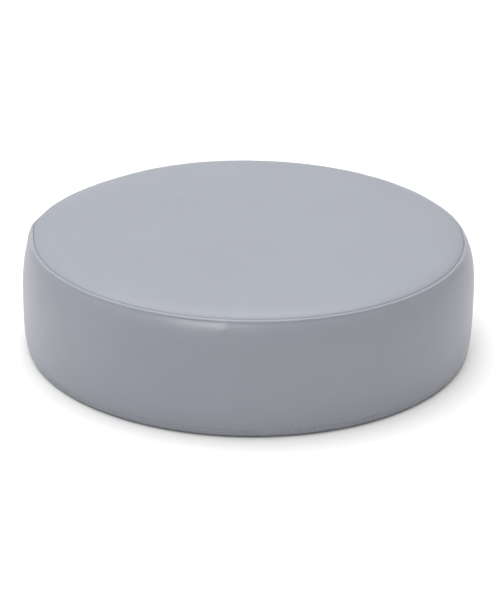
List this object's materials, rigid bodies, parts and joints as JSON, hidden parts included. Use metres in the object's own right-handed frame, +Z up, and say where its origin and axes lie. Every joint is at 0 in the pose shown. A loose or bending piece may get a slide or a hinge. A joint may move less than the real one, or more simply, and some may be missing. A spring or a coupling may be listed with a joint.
{
  "type": "low round upholstered stool",
  "caption": "Low round upholstered stool: foam on a plywood base in a sewn grey leatherette cover with a welted top seam, a zip round the back and recessed rubber feet.",
  "frame": {"origin": "on the floor under the middle of the stool, at the bottom centre of its box", "axes": "+Z up; the stool's front faces -Y and the zip is round the back, at +Y; the zip's closed end is towards +X"},
  "size_m": [0.4, 0.4, 0.105],
  "materials": {
    "leatherette": "matte",
    "base_cloth": "matte",
    "plywood": "matte",
    "firm_foam": "matte",
    "soft_foam": "matte",
    "wadding": "matte",
    "foot_rubber": "matte",
    "screw_steel": "satin",
    "zip_tape": "matte",
    "zip_coil": "satin",
    "zip_metal": "satin"
  },
  "bodies": {
    "stool_body": {"top_panel": "leatherette", "top_welt": "leatherette", "side_strip": "leatherette", "placket_upper": "leatherette", "placket_lower": "leatherette", "base_panel": "base_cloth", "base_board": "plywood", "support_foam": "firm_foam", "comfort_foam": "soft_foam", "top_wadding": "wadding", "side_wadding": "wadding", "foot_1": "foot_rubber", "foot_2": "foot_rubber", "foot_3": "foot_rubber", "foot_4": "foot_rubber", "foot_5": "foot_rubber", "foot_6": "foot_rubber", "foot_screw_1": "screw_steel", "foot_screw_2": "screw_steel", "foot_screw_3": "screw_steel", "foot_screw_4": "screw_steel", "foot_screw_5": "screw_steel", "foot_screw_6": "screw_steel", "zip_tape_upper": "zip_tape", "zip_tape_lower": "zip_tape", "zip_coil_upper": "zip_coil", "zip_coil_lower": "zip_coil", "zip_top_stop_upper": "zip_metal", "zip_top_stop_lower": "zip_metal", "zip_end_stop": "zip_metal"},
    "zip_slider": {"zip_slider": "zip_metal"},
    "zip_pull": {"zip_pull": "zip_metal"}
  },
  "joints": [
    {"name": "zip_travel", "type": "hinge", "parent": "stool_body", "child": "zip_slider", "pos_m": [0, 0, 0.04], "axis": [0, 0, 1], "range_deg": [0, 128]},
    {"name": "pull_swing", "type": "hinge", "parent": "zip_slider", "child": "zip_pull", "pos_m": [0.18263, 0.08829, 0.04], "axis": [0, 0, -1], "range_deg": [0, 170]}
  ]
}
